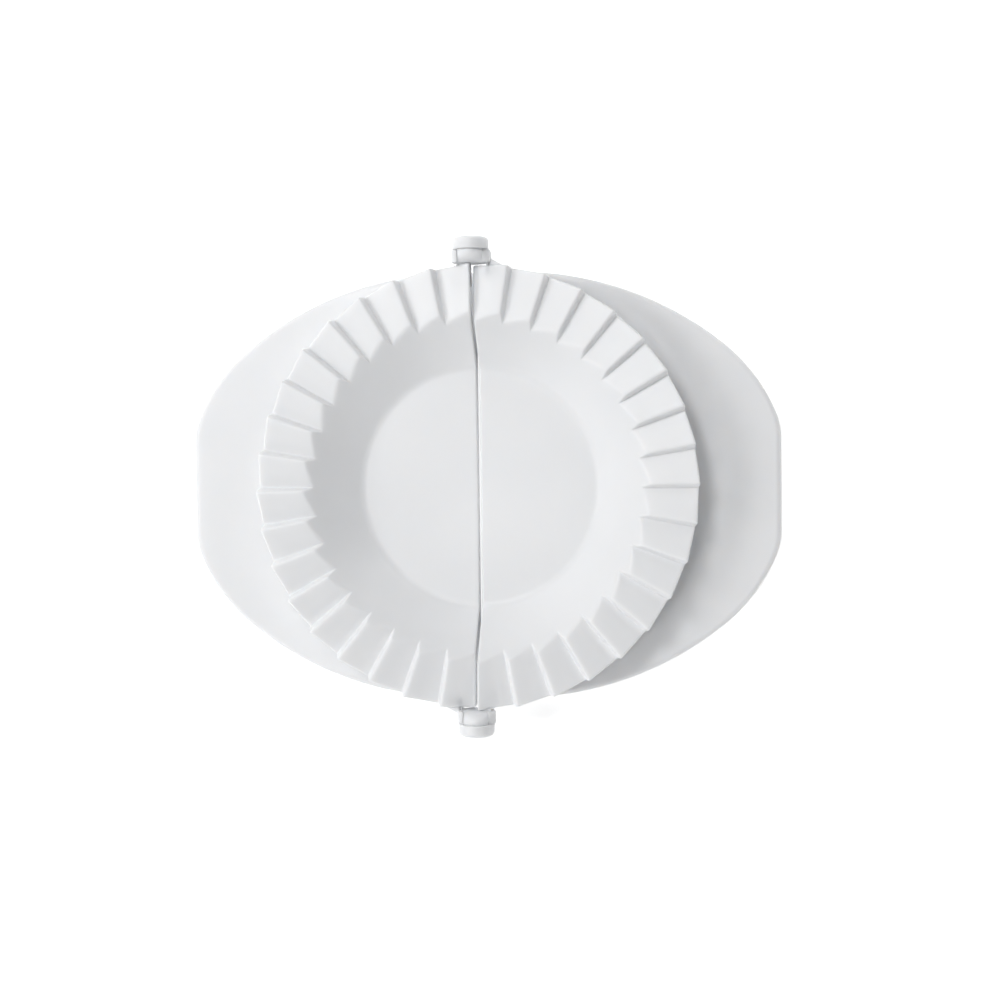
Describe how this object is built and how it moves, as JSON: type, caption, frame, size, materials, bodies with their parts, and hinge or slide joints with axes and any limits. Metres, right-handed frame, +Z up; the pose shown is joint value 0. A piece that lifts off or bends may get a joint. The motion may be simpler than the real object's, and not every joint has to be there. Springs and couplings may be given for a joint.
{
  "type": "empanada press",
  "caption": "Hinged hand press for empanadas: two half-round cups with saw-toothed rims on an oval base with flat grips, stored lying open.",
  "frame": {"origin": "under the middle of the open press, on the surface that it lies on", "axes": "+X across the two grips, +Y along the hinge line, +Z up out of the open cups"},
  "size_m": [0.1414, 0.1146, 0.0181],
  "materials": {
    "white_plastic": "satin"
  },
  "bodies": {
    "left": {"left_half": "white_plastic"},
    "right": {"right_half": "white_plastic"}
  },
  "joints": [
    {"name": "hinge", "type": "hinge", "parent": "left", "child": "right", "pos_m": [0, 0, 0.014], "axis": [0, -1, 0], "range_deg": [0, 180]}
  ]
}
